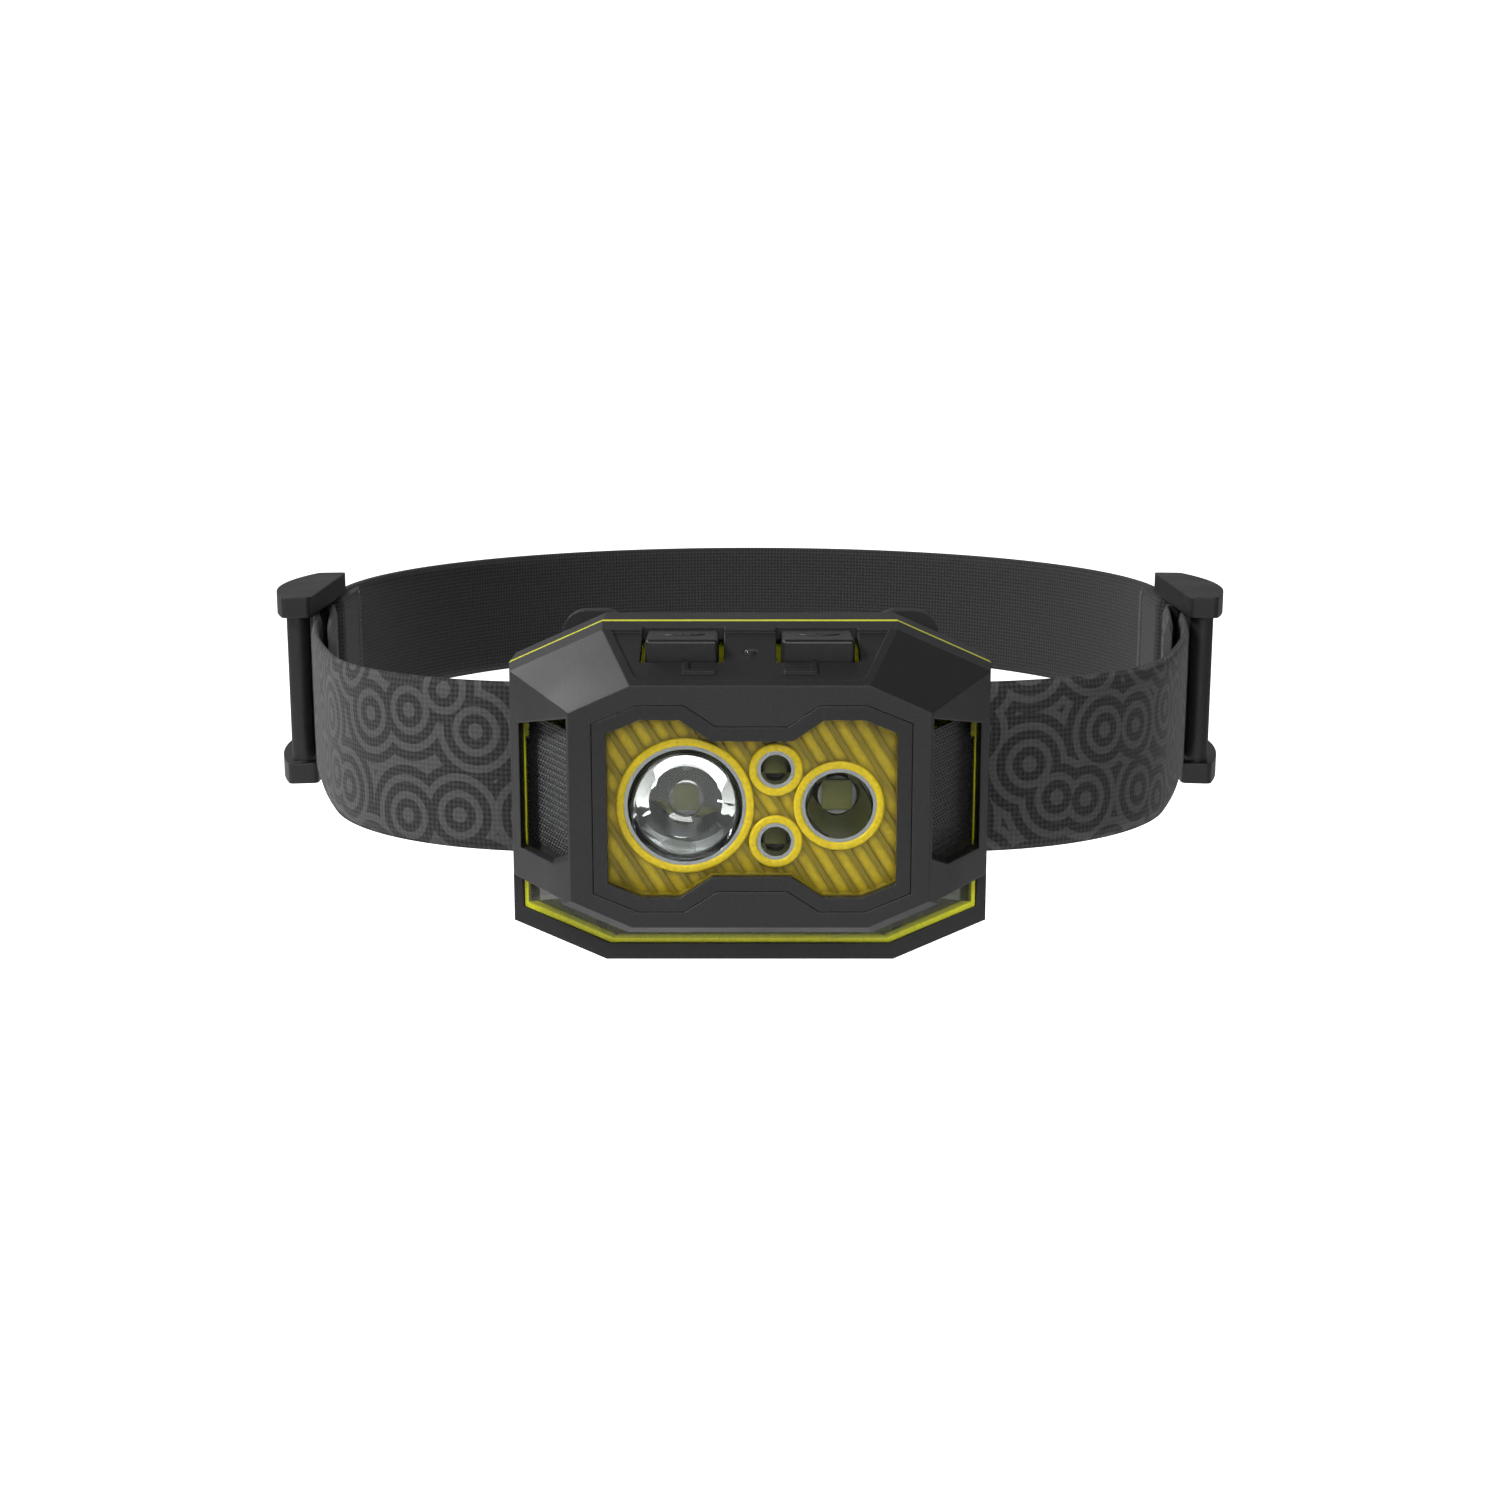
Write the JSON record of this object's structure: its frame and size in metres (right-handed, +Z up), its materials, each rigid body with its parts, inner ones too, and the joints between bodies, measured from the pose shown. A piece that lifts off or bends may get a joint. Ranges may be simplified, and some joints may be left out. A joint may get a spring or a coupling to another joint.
{
  "type": "headlamp",
  "caption": "Headlamp: faceted lamp with spot and flood lights tilting on a bracket, two push buttons, side windows, and an elastic head strap with ladder buckles.",
  "frame": {"origin": "centre of the head opening, level with the middle of the strap's height", "axes": "-Y the way the lamp points, +Y to the back of the head, +Z up, +X to the left of somebody wearing it"},
  "size_m": [0.1708, 0.2274, 0.047],
  "materials": {
    "strap_elastic": "jacquard woven elastic",
    "buckle_plastic": "moulded, fine texture",
    "bracket_plastic": "moulded, fine texture",
    "pad_foam": "soft moulded foam",
    "pin_steel": "ground",
    "housing_plastic": "moulded, fine texture",
    "seal_rubber": "moulded",
    "screw_steel": "blackened",
    "chassis_paint": "anodised lime yellow",
    "cell_wrap": "foil pouch",
    "board_green": "solder mask",
    "board_white": "white solder mask",
    "socket_steel": "drawn sleeve",
    "cover_rubber": "moulded",
    "shell_plastic": "moulded, fine spark texture",
    "diffuser_clear": "clear with moulded prisms inside",
    "bezel_plastic": "moulded, satin",
    "window_clear": "polished clear",
    "reflector_yellow": "moulded, grained",
    "cup_chrome": "vacuum metallised",
    "lens_clear": "optical clear",
    "light_source": "phosphor square",
    "button_rubber": "moulded, satin",
    "light_pipe": "clear"
  },
  "bodies": {
    "headband": {"strap_front": "strap_elastic", "strap_rear": "strap_elastic", "left_buckle": "buckle_plastic", "right_buckle": "buckle_plastic", "bracket": "bracket_plastic", "forehead_pad": "pad_foam", "pivot_pin": "pin_steel"},
    "lamp": {"rear_housing": "housing_plastic", "housing_gasket": "seal_rubber", "housing_screws": "screw_steel", "chassis_ring": "chassis_paint", "battery": "cell_wrap", "main_board": "board_green", "usb_port": "socket_steel", "front_shell": "shell_plastic", "side_diffuser": "diffuser_clear", "side_light_boards": "board_white", "bezel_ring": "bezel_plastic", "front_window": "window_clear", "window_seal": "seal_rubber", "reflector_plate": "reflector_yellow", "spot_reflector": "cup_chrome", "flood_reflector": "cup_chrome", "red_reflectors": "cup_chrome", "spot_lens": "lens_clear", "spot_led": "light_source", "flood_led": "light_source", "red_leds": "light_source", "led_board": "board_white", "switch_board": "board_green", "press_switches": "screw_steel", "charge_light": "light_pipe"},
    "left_button": {"left_button": "button_rubber"},
    "right_button": {"right_button": "button_rubber"},
    "usb_cover": {"usb_cover": "cover_rubber"}
  },
  "joints": [
    {"name": "lamp_tilt", "type": "hinge", "parent": "headband", "child": "lamp", "pos_m": [0, -0.1145, -0.0185], "axis": [1, 0, 0], "range_deg": [0, 60]},
    {"name": "left_button_press", "type": "slide", "parent": "lamp", "child": "left_button", "axis": [0, 0, -1], "range_m": [0, 0.0007], "stiffness_N_per_m": 800},
    {"name": "right_button_press", "type": "slide", "parent": "lamp", "child": "right_button", "axis": [0, 0, -1], "range_m": [0, 0.0007], "stiffness_N_per_m": 800},
    {"name": "usb_cover_open", "type": "hinge", "parent": "lamp", "child": "usb_cover", "pos_m": [0.0324, -0.12148, -0.0088], "axis": [0, 1, 0], "range_deg": [0, 110]}
  ]
}
